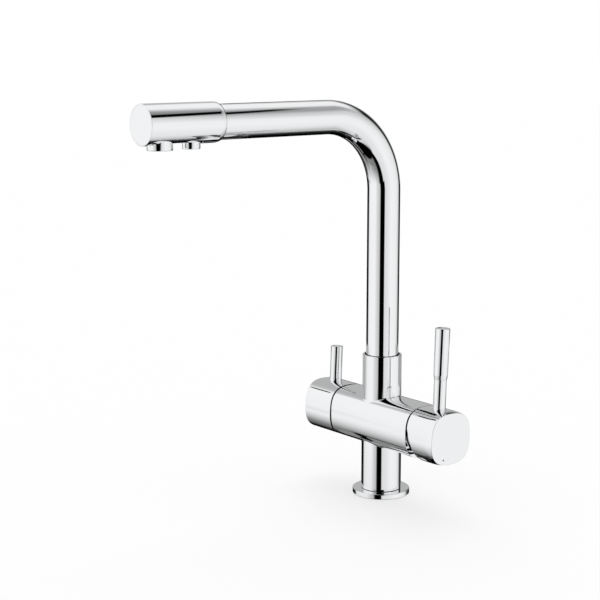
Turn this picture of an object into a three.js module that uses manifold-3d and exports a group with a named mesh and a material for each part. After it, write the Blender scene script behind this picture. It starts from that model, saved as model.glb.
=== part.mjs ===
// Three way kitchen tap: a mixer for hot and cold water on the right and a quarter turn
// valve for filtered water on the left share one L-shaped swivel spout with two outlets.
// Millimetres, +Z up. The origin is the centre of the base flange on the worktop, the
// valves lie along X (mixer at +X) and the spout's arm points along -Y, towards the user.

import * as THREE from 'three';
import { mergeVertices } from 'three/addons/utils/BufferGeometryUtils.js';
import Module from 'manifold-3d';

const wasm = await Module();
wasm.setup();

// ---- driving dimensions ----
const GAP = 0.3;                // air between two pieces that touch
const SEAM = 0.8;               // shadow gap between the body and a turning cap

const FLANGE = { r: 24.9, thick: 4.4, edge: 0.7, chamfer: 0.3, bore: 14.6 };
const SEAL_GROOVE = { inner: 19.2, outer: 23.3, depth: 1.9 };
const COLUMN_R = 17.4;
const BODY = { z: 66.2, r: 22.3, left: 42.6, right: 55.9, edge: 0.4, foot: 0.4 };
const SQUARENESS = 2.75;        // of the barrel's and caps' section: 2 is round, more is squarer
const BOSS = { r: 16.9, top: 126.6, bevelTop: 15.6, bevelDrop: 2.4 };
const HOSE_ENTRY = { r: 12.5, top: 30, depth: 14, portR: 3.5, portCircle: 8, studR: 2.5 };

const TUBE = { r: 14, wall: 1.2, bend: 63.8, foot: 117.3, reach: 186.5 };
const ARM_Z = 330.2;
const INNER_TUBE = { r: 4, bore: 2.7, foot: 90.3, reach: 193 };
const BORE = { r: 14.35, floor: 97, seatR: 15.3, seatFloor: 118.2 };

const HEAD = {
  r: 15.9, rear: 169, shoulder: 176, front: 241.5, bore: 12.8, flat: 14.2, edge: 0.5, lip: 14.9,
  recess: 2.5,
};
const FLAT = { from: 189.5, to: 238.5 };
const MAIN_OUTLET = { y: 225, r: 10, bottom: 19.6, top: 9.2 };
const FILTER_OUTLET = { y: 196.5, r: 7.05, bottom: 19.6, top: 11.3 };

const CAP = { r: 22.5, cavity: 20.4, edge: 0.6, rimEdge: 0.4, screwHoleR: 2 };
const MIXER = { face: 87.2, cavityEnd: 69, pivot: 50, leverAt: 71.6, screwAt: 75, lean: 2.2, fall: 0.8 };
const FALL_LENGTH = 8;          // over which the mixer cap narrows a little towards its face
const FILTER = { face: 79, cavityEnd: 61.5, leverAt: 64.6, screwAt: 69, lean: 2.6 };
const RIM_CUT = { angle: 19.8, height: 5.8 };   // slope of the mixer cap's lower rim
const SOCKET = 8.6;             // square socket in the mixer cap for the cartridge stem
const STEM = 8;

// Sides of the many-sided prisms that stand for round forms.
const SIDES = { soft: 32, large: 28, tube: 24, medium: 16, small: 12, tiny: 8 };

// ---- materials ----
const chrome = new THREE.MeshStandardMaterial({ color: 0xe4e6e8, roughness: 0.06, metalness: 1 });
const brass = new THREE.MeshStandardMaterial({ color: 0xb8924a, roughness: 0.35, metalness: 1 });
const steel = new THREE.MeshStandardMaterial({ color: 0x9fa3a6, roughness: 0.3, metalness: 1 });
const rubber = new THREE.MeshStandardMaterial({ color: 0x161617, roughness: 0.8, metalness: 0 });
const acetal = new THREE.MeshStandardMaterial({ color: 0xd9dadb, roughness: 0.5, metalness: 0 });
const darkPlastic = new THREE.MeshStandardMaterial({ color: 0x2b2d30, roughness: 0.55, metalness: 0 });
const ceramic = new THREE.MeshStandardMaterial({ color: 0xf1efe9, roughness: 0.25, metalness: 0 });
const hosePlastic = new THREE.MeshStandardMaterial({ color: 0xcfd8dc, roughness: 0.45, metalness: 0 });

// ---- solids: a geometry goes in, one closed geometry comes out ----
function toSolid(geometry) {
  const bare = geometry.clone();
  bare.deleteAttribute('normal');
  bare.deleteAttribute('uv');
  const merged = mergeVertices(bare, 1e-4);
  const place = merged.attributes.position;
  const corner = [new THREE.Vector3(), new THREE.Vector3(), new THREE.Vector3()];
  const faces = [];
  let volume = 0;
  for (let i = 0; i < merged.index.count; i += 3) {
    const [a, b, c] = [0, 1, 2].map((k) => merged.index.getX(i + k));
    if (a === b || b === c || a === c) continue;   // collapsed on the axis of a turned form
    faces.push([a, b, c]);
    [a, b, c].forEach((v, k) => corner[k].fromBufferAttribute(place, v));
    volume += corner[0].dot(corner[1].cross(corner[2]));
  }
  const outward = volume > 0 ? faces : faces.map(([a, b, c]) => [a, c, b]);
  return new wasm.Manifold(new wasm.Mesh({
    numProp: 3,
    vertProperties: new Float32Array(place.array),
    triVerts: new Uint32Array(outward.flat()),
  }));
}

function toGeometry(solid) {
  const mesh = solid.getMesh();
  const geometry = new THREE.BufferGeometry();
  geometry.setAttribute('position', new THREE.BufferAttribute(mesh.vertProperties.slice(), 3));
  geometry.setIndex(new THREE.BufferAttribute(mesh.triVerts.slice(), 1));
  return geometry;
}

const combine = (operation) => (first, ...others) => toGeometry(
  others.reduce((whole, other) => whole[operation](toSolid(other)), toSolid(first)));
const join = combine('add');
const cut = combine('subtract');
const overlap = combine('intersect');

// ---- shapes about or along the local Z axis ----
// A profile is a list of [radius, height]; it starts and ends on the axis or closes on itself.
function turned(profile, sides = SIDES.medium) {
  const points = profile.map(([r, h]) => new THREE.Vector2(r, h));
  return new THREE.LatheGeometry(points, sides).rotateX(Math.PI / 2);
}

// A turned form pressed outwards from its axis into a square with soft corners.
function softSquare(profile) {
  const form = turned(profile, SIDES.soft);
  const place = form.attributes.position;
  for (let i = 0; i < place.count; i += 1) {
    const [x, y] = [place.getX(i), place.getY(i)];
    const r = Math.hypot(x, y);
    if (r === 0) continue;
    const power = Math.abs(x / r) ** SQUARENESS + Math.abs(y / r) ** SQUARENESS;
    const stretch = power ** (-1 / SQUARENESS);
    place.setXY(i, x * stretch, y * stretch);
  }
  return form;
}

const ring = (profile, sides) => turned([...profile, profile[0]], sides);

const rod = (r, from, to, sides = SIDES.tiny) => turned([[0, from], [r, from], [r, to], [0, to]], sides);

const sleeve = (inner, outer, from, to, sides) => ring(
  [[outer, from], [outer, to], [inner, to], [inner, from]], sides);

function block(x, y, z, at) {
  return new THREE.BoxGeometry(x, y, z).translate(at[0], at[1], at[2]);
}

function oRing(radius, thickness, height, sides = SIDES.medium) {
  const section = arc(radius, height, thickness, 0, 288, 4);
  return ring(section, sides);
}

// Points on a round stretch of a profile, angles in degrees from the direction of the radius.
function arc(radius, height, size, from, to, steps) {
  return Array.from({ length: steps + 1 }, (_, i) => {
    const angle = THREE.MathUtils.degToRad(from + (to - from) * i / steps);
    return [radius + size * Math.cos(angle), height + size * Math.sin(angle)];
  });
}

// The same shape pointing along local X or Y, and a rod across the axis at a height.
const alongX = (shape) => shape.rotateY(Math.PI / 2);
const alongY = (shape) => shape.rotateX(-Math.PI / 2);
const radial = (shape, height) => alongX(shape).translate(0, 0, height);

// ---- base ----
function baseFlange() {
  const { r, thick, edge, chamfer, bore } = FLANGE;
  const body = ring([
    [bore, 0], [r - chamfer, 0], [r, chamfer], ...arc(r - edge, thick - edge, edge, 0, 90, 2),
    [bore, thick],
  ], SIDES.large);
  const { inner, outer, depth } = SEAL_GROOVE;
  return cut(body, sleeve(inner, outer, -1, depth, SIDES.tube));
}

const deckSeal = () => sleeve(
  SEAL_GROOVE.inner + GAP, SEAL_GROOVE.outer - GAP, 0, SEAL_GROOVE.depth - GAP, SIDES.tube);

// ---- valve body: barrel, boss and column are one casting, bored for everything it carries ----
function bodyCasting() {
  const { r, left, right, edge, z } = BODY;
  const barrel = alongX(softSquare([
    [0, -left], [r - edge, -left], [r, edge - left], [r, right - edge], [r - edge, right], [0, right],
  ])).translate(0, 0, z);
  const boss = turned([
    [0, z], [BOSS.r, z], [BOSS.r, BOSS.top - BOSS.bevelDrop], [BOSS.bevelTop, BOSS.top], [0, BOSS.top],
  ], SIDES.large);
  const shoulder = FLANGE.thick + GAP;
  const spigot = FLANGE.bore - GAP;
  const column = turned([
    [0, BODY.foot], [spigot, BODY.foot], [spigot, shoulder], [COLUMN_R, shoulder], [COLUMN_R, z],
    [0, z],
  ], SIDES.large);
  return join(barrel, boss, column);
}

// Places of the three water ports in the floor of the hose entry, around the stud hole.
const PORTS = [-60, 60, 180].map((angle) => {
  const turn = THREE.MathUtils.degToRad(angle);
  return [HOSE_ENTRY.portCircle * Math.cos(turn), HOSE_ENTRY.portCircle * Math.sin(turn)];
});
const CHANNEL_R = 2.4;
const MIXED_CHANNEL = { x: 9, r: 3 };
const FILTER_RISE = { x: 28, z: 74, top: 91 };    // slanting channel up to the spout's bore
const SEAT = { x: 18, inlet: -5, outlet: 8.5 };   // cartridge seat, heights above the valve axis
const CARTRIDGE_BORE = { r: 17.8, threadR: 18.6, threadFrom: 44.5 };
const FILTER_BORE = { r: 10.6, noseR: 7.8, nose: 24, end: 16, mouthR: 17, mouth: 36 };

function waterways() {
  const { top, depth, portR, studR } = HOSE_ENTRY;
  const { x: riseX, z: riseZ, top: riseTop } = FILTER_RISE;
  const threads = [
    ...PORTS.map(([x, y]) => rod(portR, top - 1, top + depth).translate(x, y, 0)),
    rod(studR, top - 1, top + depth - 2),
  ];
  const mixerInlets = PORTS.slice(0, 2).flatMap(([x, y]) => [
    rod(CHANNEL_R, top + depth - 1, BODY.z + SEAT.inlet + CHANNEL_R).translate(x, y, 0),
    alongX(rod(CHANNEL_R, x, SEAT.x + 1)).translate(0, y, BODY.z + SEAT.inlet),
  ]);
  const { x: mixedX, r: mixedR } = MIXED_CHANNEL;
  const mixed = [
    alongX(rod(mixedR, mixedX - 2, SEAT.x + 1)).translate(0, 0, BODY.z + SEAT.outlet),
    rod(mixedR, BODY.z + SEAT.outlet, BORE.floor + 1).translate(mixedX, 0, 0),
  ];
  const filterInlet = [
    rod(CHANNEL_R, top + depth - 1, BODY.z + CHANNEL_R).translate(PORTS[2][0], 0, 0),
    alongX(rod(CHANNEL_R, -FILTER_BORE.end - 1, PORTS[2][0])).translate(0, 0, BODY.z),
  ];
  const filterOutlet = rod(CHANNEL_R, 0, Math.hypot(riseX, riseTop - riseZ))
    .rotateY(Math.atan2(riseX, riseTop - riseZ)).translate(-riseX, 0, riseZ);
  return [...threads, ...mixerInlets, ...mixed, ...filterInlet, filterOutlet];
}

function valveBody() {
  const onAxis = (shape) => alongX(shape).translate(0, 0, BODY.z);
  const { r, noseR, nose, end, mouthR, mouth } = FILTER_BORE;
  const bores = [
    rod(BORE.r, BORE.floor, BOSS.top + 1, SIDES.large),
    rod(BORE.seatR, BORE.seatFloor, BOSS.top + 1, SIDES.large),
    rod(INNER_TUBE.r + GAP, INNER_TUBE.foot - 3, BORE.floor + 1, SIDES.small),
    alongY(rod(STOP.screwR + GAP, STOP.tip - 0.4, 20)).translate(0, 0, STOP.z),
    rod(HOSE_ENTRY.r, -1, HOSE_ENTRY.top, SIDES.medium),
    onAxis(rod(CARTRIDGE_BORE.r, SEAT.x, BODY.right + 1, SIDES.large)),
    onAxis(rod(CARTRIDGE_BORE.threadR, CARTRIDGE_BORE.threadFrom, BODY.right + 1, SIDES.large)),
    onAxis(rod(noseR, -nose - 1, -end, SIDES.small)),
    onAxis(rod(r, -BODY.left - 1, -nose, SIDES.medium)),
    onAxis(rod(mouthR, -BODY.left - 1, -mouth, SIDES.large)),
  ];
  return cut(bodyCasting(), ...bores, ...waterways());
}

// ---- spout: swivel foot, bent tube, inner tube for the filtered water ----
const STOP = { z: 113, screwR: 2.3, tip: 12.4, tipR: 1.7, end: 16.4, floor: 12, height: 4.4 };
const O_RING = { radius: 12.95, thickness: 1.1, heights: [103.7, 107.9], grooveR: 11.6, groove: 3 };
const FOOT = { r: 14, bore: 9, low: 97.6, ringR: 12.3, ringTop: 101, plugR: 12.5, top: 125 };

// The foot turns in the boss. The grub screw rides in a groove that covers half of its girth,
// so that the groove's two ends are the stops of the swivel.
function spoutFoot() {
  const { r, bore, low, ringR, ringTop, plugR, top } = FOOT;
  const { heights, grooveR, groove } = O_RING;
  const grooves = heights.flatMap((z) => [
    [r, z - groove / 2], [grooveR, z - groove / 2], [grooveR, z + groove / 2], [r, z + groove / 2],
  ]);
  const body = ring([
    [bore, low], [ringR, low], [ringR, ringTop], [r, ringTop], ...grooves,
    [r, TUBE.foot - GAP], [plugR, TUBE.foot - GAP], [plugR, top], [bore, top],
  ]);
  const full = sleeve(STOP.floor, r + 1, STOP.z - STOP.height / 2, STOP.z + STOP.height / 2);
  const behindAxis = 2.3;
  return cut(body, overlap(full, block(40, 40, 10, [0, 20 - behindAxis, STOP.z])));
}

const slipRingLower = () => sleeve(FOOT.ringR + GAP, 14.05, FOOT.low + 0.1, FOOT.ringTop - GAP);
const slipRingUpper = () => sleeve(
  TUBE.r + GAP, BORE.seatR - GAP, BORE.seatFloor + GAP, BOSS.top - 0.2, SIDES.large);

// A vertical run, a quarter bend and a level run. One step covers each straight run, so the
// facets go to the bend.
class SpoutPath extends THREE.Curve {
  constructor(foot, reach, bendSteps) {
    super();
    Object.assign(this, { foot, reach, bendSteps });
  }

  getPoint(u, target = new THREE.Vector3()) {
    const step = u * (this.bendSteps + 2);
    const low = ARM_Z - TUBE.bend;
    if (step <= 1) return target.set(0, 0, this.foot + (low - this.foot) * step);
    const past = step - 1 - this.bendSteps;
    if (past >= 0) return target.set(0, -TUBE.bend - (this.reach - TUBE.bend) * past, ARM_Z);
    const turn = (step - 1) / this.bendSteps * Math.PI / 2;
    return target.set(0, TUBE.bend * (Math.cos(turn) - 1), low + TUBE.bend * Math.sin(turn));
  }

  getTangent(u, target = new THREE.Vector3()) {
    const along = THREE.MathUtils.clamp((u * (this.bendSteps + 2) - 1) / this.bendSteps, 0, 1);
    const turn = along * Math.PI / 2;
    return target.set(0, -Math.sin(turn), Math.cos(turn));
  }

  getPointAt(u, target) {
    return this.getPoint(u, target);
  }

  getTangentAt(u, target) {
    return this.getTangent(u, target);
  }
}

function bentTube(outer, inner, foot, reach, sides, bendSteps) {
  const section = new THREE.Shape();
  section.absarc(0, 0, outer, 0, 2 * Math.PI);
  const bore = new THREE.Path();
  bore.absarc(0, 0, inner, 0, 2 * Math.PI, true);
  section.holes.push(bore);
  const tube = new THREE.ExtrudeGeometry(section, {
    steps: bendSteps + 2,
    curveSegments: sides / 2,   // a full circle is cut into twice this many sides
    extrudePath: new SpoutPath(foot, reach, bendSteps),
  });
  return toGeometry(toSolid(tube));
}

const spoutTube = () => bentTube(
  TUBE.r, TUBE.r - TUBE.wall, TUBE.foot, TUBE.reach, SIDES.tube, 10);
const filteredWaterTube = () => bentTube(
  INNER_TUBE.r, INNER_TUBE.bore, INNER_TUBE.foot, INNER_TUBE.reach, SIDES.tiny, 6);

// Headless screw with a hexagon socket, tip down, its length along Z.
function grubScrew(r, from, to, tipR, tipLength) {
  const body = turned([
    [0, from], [tipR, from], [tipR, from + tipLength], [r, from + tipLength + 0.4], [r, to - 0.3],
    [r - 0.3, to], [0, to],
  ], SIDES.tiny);
  return cut(body, rod(r * 0.55, to - 1.8, to + 1, 6));
}

// ---- spout head, in a frame whose Z runs forward along the arm and whose Y points up ----
const outletBore = (outlet, r, from, to) => turned(
  [[0, from], [r, from], [r, to], [0, to]], SIDES.medium).rotateX(-Math.PI / 2).translate(0, 0, outlet.y);

function spoutHead() {
  const { r, rear, shoulder, front, bore, flat, edge, lip, recess } = HEAD;
  const socket = TUBE.r + GAP;
  const lowR = socket + 0.25;
  const round = arc(0, 0, 1, 0, 90, 3)
    .map(([c, s]) => [lowR + (r - lowR) * s, shoulder - (shoulder - rear) * c]);
  const shell = ring([
    [socket, rear], ...round, [r, front - edge], [r - edge, front], [lip, front],
    [lip, front - recess], [bore, front - recess], [bore, TUBE.reach + 0.5], [socket, TUBE.reach + 0.5],
  ], SIDES.tube);
  const milledFlat = block(40, 10, FLAT.to - FLAT.from, [0, -flat - 5, (FLAT.to + FLAT.from) / 2]);
  return cut(shell, milledFlat,
    outletBore(MAIN_OUTLET, MAIN_OUTLET.r + GAP, -20, -5),
    outletBore(FILTER_OUTLET, FILTER_OUTLET.r + GAP, -20, -5));
}

function headEndCap() {
  const { front, bore, lip, recess } = HEAD;
  const r = lip - GAP;
  const back = front - recess + GAP;
  const plug = 2.3;
  return turned([
    [0, back - plug], [bore - GAP, back - plug], [bore - GAP, back], [r, back], [r, front - 0.2],
    [r - 0.2, front], [0, front],
  ], SIDES.tube);
}

// The insert keeps the two waters apart: mixed water runs above, filtered water in the middle.
function outletBlock() {
  const rear = TUBE.reach + 0.9;
  const front = HEAD.front - 4.9;
  const upperChannel = { r: 3.6, up: 7 };
  const body = rod(HEAD.bore - GAP, rear, front, SIDES.medium);
  return cut(body,
    rod(upperChannel.r, rear - 1, MAIN_OUTLET.y).translate(0, upperChannel.up, 0),
    rod(INNER_TUBE.r + GAP, rear - 1, INNER_TUBE.reach + 6, SIDES.small),
    outletBore(MAIN_OUTLET, 8, -20, 9.5),
    outletBore(MAIN_OUTLET, MAIN_OUTLET.r + GAP, -20, GAP - MAIN_OUTLET.top + 1),
    outletBore(FILTER_OUTLET, 3.2, -20, 1),
    outletBore(FILTER_OUTLET, FILTER_OUTLET.r + GAP, -20, GAP - FILTER_OUTLET.top + 0.2));
}

// Outlets hang below the arm's axis, heights measured from that axis.
function outletHousing({ r, bottom, top }, mouthR, seatR, edge) {
  const seat = -top - 1.4;
  return ring([
    [mouthR, -bottom], [r - edge, -bottom], [r, edge - bottom], [r, -top], [seatR, -top],
    [seatR, seat], [mouthR, seat],
  ], SIDES.medium);
}

const AERATOR = { mouthR: 8.3, seatR: 7, r: 8, wall: 1.4, recess: 0.6, plate: 1.2 };
const NOZZLE = { mouthR: 5.2, seatR: 3.6, r: 4.9, wall: 1, recess: 0.6, plate: 1.2 };
const aeratorHousing = () => outletHousing(MAIN_OUTLET, AERATOR.mouthR, AERATOR.seatR, 0.5);
const filterNozzle = () => outletHousing(FILTER_OUTLET, NOZZLE.mouthR, NOZZLE.seatR, 0.4);

// A cup stands in the housing, a little above its lower edge; its floor is what gets pierced.
function outletCup({ bottom }, { r, wall, recess, plate }, height, sides) {
  const low = recess - bottom;
  return turned([
    [0, low], [r, low], [r, height], [r - wall, height], [r - wall, low + plate], [0, low + plate],
  ], sides);
}

// The mesh of the aerator is a plate pierced on a square grid inside a plain wall.
function aeratorInsert() {
  const mesh = { pitch: 2.8, hole: 2, reach: 2 };
  const floor = AERATOR.recess - MAIN_OUTLET.bottom;
  const holes = [];
  for (let i = -mesh.reach; i <= mesh.reach; i += 1) {
    for (let j = -mesh.reach; j <= mesh.reach; j += 1) {
      if (Math.hypot(i, j) <= mesh.reach) {
        holes.push(block(mesh.hole, mesh.hole, 3, [i * mesh.pitch, j * mesh.pitch, floor + 0.5]));
      }
    }
  }
  return cut(outletCup(MAIN_OUTLET, AERATOR, -MAIN_OUTLET.top - 3.3, SIDES.medium), ...holes);
}

const aeratorSeal = () => sleeve(
  6.2, AERATOR.r, -MAIN_OUTLET.top - 3, -MAIN_OUTLET.top - 1.7, SIDES.medium);

// One hole in the middle and six on a circle.
function filterNozzleInsert() {
  const hole = { r: 0.6, circle: 2.3, count: 6 };
  const floor = NOZZLE.recess - FILTER_OUTLET.bottom;
  const middle = rod(hole.r, floor - 1, floor + 2, 6);
  const around = Array.from({ length: hole.count }, (_, i) => middle.clone()
    .translate(hole.circle, 0, 0).rotateZ(i * 2 * Math.PI / hole.count));
  return cut(outletCup(FILTER_OUTLET, NOZZLE, -FILTER_OUTLET.top - 1.8, SIDES.small), middle, ...around);
}

// ---- both valves: Z runs outwards along the valve's axis, X points up along the lever ----
// A cap is open towards the body and carries the lever in a pocket with a tapped hole.
function turningCap(rim, { face, cavityEnd, leverAt, screwAt, fall = 0 }, leverR) {
  const { r, cavity, edge, rimEdge, screwHoleR } = CAP;
  const fallFrom = face - edge - FALL_LENGTH;
  const narrowing = fall > 0 ? [[r, fallFrom], [r - fall / 4, fallFrom + FALL_LENGTH / 2]] : [];
  const outside = softSquare([
    [0, rim], [r - rimEdge, rim], [r, rim + rimEdge], ...narrowing,
    ...arc(r - fall - edge, face - edge, edge, 0, 90, 3), [0, face],
  ]);
  return cut(outside,
    rod(cavity, rim - 1, cavityEnd, SIDES.large),
    radial(rod(leverR + 0.2, LEVER.seat - GAP, r + 5, SIDES.small), leverAt),
    radial(rod(LEVER.studR + GAP, LEVER.studFoot - 0.5, LEVER.seat + 1), leverAt),
    radial(rod(screwHoleR, -r - 5, -3), screwAt));
}

const LEVER = { seat: 21.9, studFoot: 13.5, studR: 1.85, edge: 0.6, dish: 0.5 };
const leverStud = [[0, LEVER.studFoot], [LEVER.studR, LEVER.studFoot], [LEVER.studR, LEVER.seat]];

function dishedTop(r, top) {
  const { edge, dish } = LEVER;
  return [...arc(r - edge, top - edge, edge, 0, 90, 2), [r - 2 * edge, top], [0, top - dish]];
}

// ---- mixer: a cartridge with ceramic discs, whose stem turns and tilts with the cap ----
const SEAL_PORTS = {
  cold: [SEAT.inlet, -PORTS[0][1]],
  hot: [SEAT.inlet, -PORTS[1][1]],
  mixed: [SEAT.outlet, 0],
};
const portRods = (r, from, to) => Object.values(SEAL_PORTS)
  .map(([x, y]) => rod(r, from, to, SIDES.tiny).translate(x, y, 0));

// The cartridge's own sizes; its stack of pieces is given by heights along the valve's axis.
const CARTRIDGE = { r: 17.4, bore: 15.8, shoulder: 43, end: 46, mouthR: 11.4, chamfer: 0.8 };
const PORT = { r: 2.6, pocketR: 4.4, pocketEnd: 19.9 };
const STACK = { base: 23.6, fixedFrom: 24.2, fixedTo: 28, movingTo: 31.8, carrierTo: 39, rotorFrom: 39.5 };
const DISC = { fixedR: 15.4, movingR: 10.5, chamber: 2.1 };
const ROTOR = { rimR: 14.5, rimEnd: 42.7, r: 11, end: 55, chamfer: 0.6 };
const PIN = { r: 1.45, length: 20 };
const BALL = { at: 37, r: 3, neckR: 2.4, stemFrom: 46, stemTo: 80.5 };
const NUT = { r: 18.3, end: 52, keyR: 13.9 };

function cartridgeBase() {
  const { r, pocketR, pocketEnd } = PORT;
  const body = rod(CARTRIDGE.r, SEAT.x + GAP, STACK.base, SIDES.medium);
  return cut(body, ...portRods(r, SEAT.x, STACK.base + 1), ...portRods(pocketR, SEAT.x, pocketEnd));
}

function cartridgeHousing() {
  const { r, bore, shoulder, end, mouthR, chamfer } = CARTRIDGE;
  const foot = STACK.base + GAP;
  return ring([
    [bore, foot], [r, foot], [r, end - chamfer], [r - chamfer, end], [mouthR, end],
    [mouthR, shoulder], [bore, shoulder],
  ], SIDES.medium);
}

const fixedDisc = () => cut(
  rod(DISC.fixedR, STACK.fixedFrom, STACK.fixedTo, SIDES.medium),
  ...portRods(PORT.r, STACK.fixedFrom - 1, STACK.fixedTo + 1));

// The moving disc joins the ports through a chamber cut in its underside.
function movingDisc() {
  const from = STACK.fixedTo + GAP;
  const depth = DISC.chamber + GAP;
  const chamber = join(
    rod(4.2, STACK.fixedTo, from + DISC.chamber, SIDES.tiny).translate(4.4, 0, 0),
    block(9, 11, depth, [0, 0, STACK.fixedTo + depth / 2]));
  return cut(rod(DISC.movingR, from, STACK.movingTo, SIDES.medium), chamber);
}

const discCarrier = () => cut(
  rod(DISC.movingR, STACK.movingTo + GAP, STACK.carrierTo, SIDES.medium),
  rod(BALL.r + 0.4, BALL.at - BALL.r - 0.5, STACK.carrierTo + 1, SIDES.small));

const pinHole = () => alongY(rod(PIN.r + GAP, -PIN.length, PIN.length)).translate(0, 0, MIXER.pivot);

function cartridgeRotor() {
  const { rimR, rimEnd, r, end, chamfer } = ROTOR;
  const from = STACK.rotorFrom;
  const body = turned([
    [0, from], [rimR, from], [rimR, rimEnd], [r, rimEnd], [r, end - chamfer], [r - chamfer, end],
    [0, end],
  ], SIDES.medium);
  return cut(body, block(18, STEM + 0.8, 40, [0, 0, 47]), pinHole());
}

const pivotPin = () => alongY(rod(PIN.r, -PIN.length / 2, PIN.length / 2)).translate(0, 0, MIXER.pivot);

// A square stem, drilled for the pin, with a ball end that pushes the moving disc.
function cartridgeStem() {
  const { at, r, neckR, stemFrom, stemTo } = BALL;
  const length = stemTo - stemFrom;
  const ball = turned([[0, at - r], ...arc(0, at, r, -60, 60, 6), [0, at + r]], SIDES.small);
  const stem = block(STEM, STEM, length, [0, 0, stemFrom + length / 2]);
  return cut(join(ball, rod(neckR, at + 1, stemFrom + 1), stem), pinHole());
}

const cartridgeNut = () => cut(
  rod(NUT.r, CARTRIDGE.end + GAP, NUT.end, SIDES.large),
  rod(NUT.keyR, CARTRIDGE.end, NUT.end + 1, 6));

const DOME = { skirtR: 18.3, from: 52.4, r: 20.9, ballFrom: 56.2, top: 63.4, innerR: 16.6, mouthR: 12 };

// The dome is part of a ball round the tilt pivot, so the cap clears it in every position.
function cartridgeDome() {
  const { skirtR, from, r, ballFrom, top, innerR, mouthR } = DOME;
  const angleAt = (size, height) => THREE.MathUtils.radToDeg(Math.asin((height - MIXER.pivot) / size));
  const innerHigh = THREE.MathUtils.radToDeg(Math.acos(mouthR / innerR));
  return ring([
    [skirtR, from], [skirtR, ballFrom],
    ...arc(0, MIXER.pivot, r, angleAt(r, ballFrom), angleAt(r, top), 4), [mouthR, top],
    ...arc(0, MIXER.pivot, innerR, innerHigh, angleAt(innerR, ballFrom - 0.5), 2),
    [innerR - 1, from],
  ], SIDES.large);
}

const DOT = { up: -17.1, across: 7.6, r: 0.75, depth: 0.5 };

// The lower half of the rim slopes away from the body, which leaves the cap room to tilt.
function mixerCap() {
  const rim = BODY.right + SEAM;
  const slope = THREE.MathUtils.degToRad(RIM_CUT.angle);
  const wedge = new THREE.BoxGeometry(100, 100, 40).translate(0, 0, -20).rotateY(slope)
    .translate(RIM_CUT.height, 0, rim + 0.1);
  const socketEnd = BALL.stemTo + 0.5;
  const socketLength = socketEnd - MIXER.cavityEnd + 1;
  const { up, across, r, depth } = DOT;
  return cut(turningCap(rim, MIXER, MIXER_LEVER.pinR),
    wedge,
    block(SOCKET, SOCKET, socketLength, [0, 0, socketEnd - socketLength / 2]),
    rod(r + 0.2, MIXER.face - depth - 0.1, MIXER.face + 1).translate(up, across, 0));
}

const MIXER_LEVER = {
  pinR: 5.3, shoulder: 48, spigotR: 3.4, spigotEnd: 87, gripLowR: 5.45, gripR: 6, taperLength: 3.5,
  topR: 6.2, top: 91.2,
};

function mixerLeverPin() {
  const { pinR, shoulder, spigotR, spigotEnd } = MIXER_LEVER;
  return alongX(turned([
    ...leverStud, [pinR, LEVER.seat], [pinR, shoulder], [spigotR, shoulder], [spigotR, spigotEnd],
    [0, spigotEnd],
  ], SIDES.small));
}

function mixerLeverGrip() {
  const { shoulder, spigotR, spigotEnd, gripLowR, gripR, taperLength, topR, top } = MIXER_LEVER;
  const foot = shoulder + GAP;
  const bore = spigotR + GAP;
  return alongX(turned([
    [0, spigotEnd + 0.4], [bore, spigotEnd + 0.4], [bore, foot], [gripLowR, foot],
    [gripR, foot + taperLength], ...dishedTop(topR, top),
  ], SIDES.medium));
}

const indexDot = () => rod(DOT.r, MIXER.face - DOT.depth, MIXER.face, SIDES.tiny)
  .translate(DOT.up, DOT.across, 0);

// ---- filter valve: a quarter turn head with two ceramic discs ----
const HEADPART = {
  inletR: 3, noseR: 7.5, noseFrom: 16.3, noseEnd: 24.3, waistR: 9, threadFrom: 33, threadR: 10.3,
  threadEnd: 38.5, hexR: 14, hexEnd: 41.5, neckR: 6.8, end: 50, chamberR: 6.2, chamberEnd: 30,
  spindleR: 4.5, windowR: 2, windowAt: 26.8,
};

function filterHeadpart() {
  const {
    inletR, noseR, noseFrom, noseEnd, waistR, threadFrom, threadR, threadEnd, hexR, hexEnd, neckR, end,
    chamberR, chamberEnd, spindleR, windowR, windowAt,
  } = HEADPART;
  const chamberFrom = FILTER_DISC.fixedFrom - GAP;
  const body = ring([
    [inletR, noseFrom], [noseR, noseFrom], [noseR, noseEnd], [waistR, noseEnd], [waistR, threadFrom],
    [threadR, threadFrom], [threadR, threadEnd], [neckR, hexEnd - 0.5], [neckR, end], [spindleR, end],
    [spindleR, chamberEnd], [chamberR, chamberEnd], [chamberR, chamberFrom], [inletR, chamberFrom],
  ], SIDES.medium);
  const hexagon = cut(rod(hexR, threadEnd - 0.5, hexEnd, 6), rod(neckR - 1, threadEnd - 1, hexEnd + 1));
  return cut(join(body, hexagon), alongX(rod(windowR, -12, 12)).translate(0, 0, windowAt));
}

const FILTER_DISC = { r: 5.9, fixedFrom: 18.8, fixedTo: 22.4, movingTo: 26.2, portR: 1.9, portAt: 2.6 };
const SPINDLE = { r: 4.2, headEnd: 29.6, end: 72.5, chamfer: 0.4 };
const GUIDE = { bore: 14.5, spigotR: 16.7, from: 38.2, shoulder: 42.9, r: 20, end: 47 };

const filterHeadpartSeal = () => sleeve(
  FILTER_BORE.r + 0.1, HEADPART.hexR - 0.4, FILTER_BORE.mouth + GAP, HEADPART.threadEnd - 0.8, SIDES.small);

function filterFixedDisc() {
  const { r, fixedFrom, fixedTo, portR, portAt } = FILTER_DISC;
  const port = rod(portR, fixedFrom - 1, fixedTo + 1).translate(portAt, 0, 0);
  return cut(rod(r, fixedFrom, fixedTo, SIDES.small), port);
}

// Half a turn open: the notch at the edge comes over the port of the fixed disc.
function filterMovingDisc() {
  const { r, fixedTo, movingTo } = FILTER_DISC;
  const from = fixedTo + GAP;
  return cut(rod(r, from, movingTo, SIDES.small), block(6, 5, 5, [-5.5, 0, (from + movingTo) / 2]));
}

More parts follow.
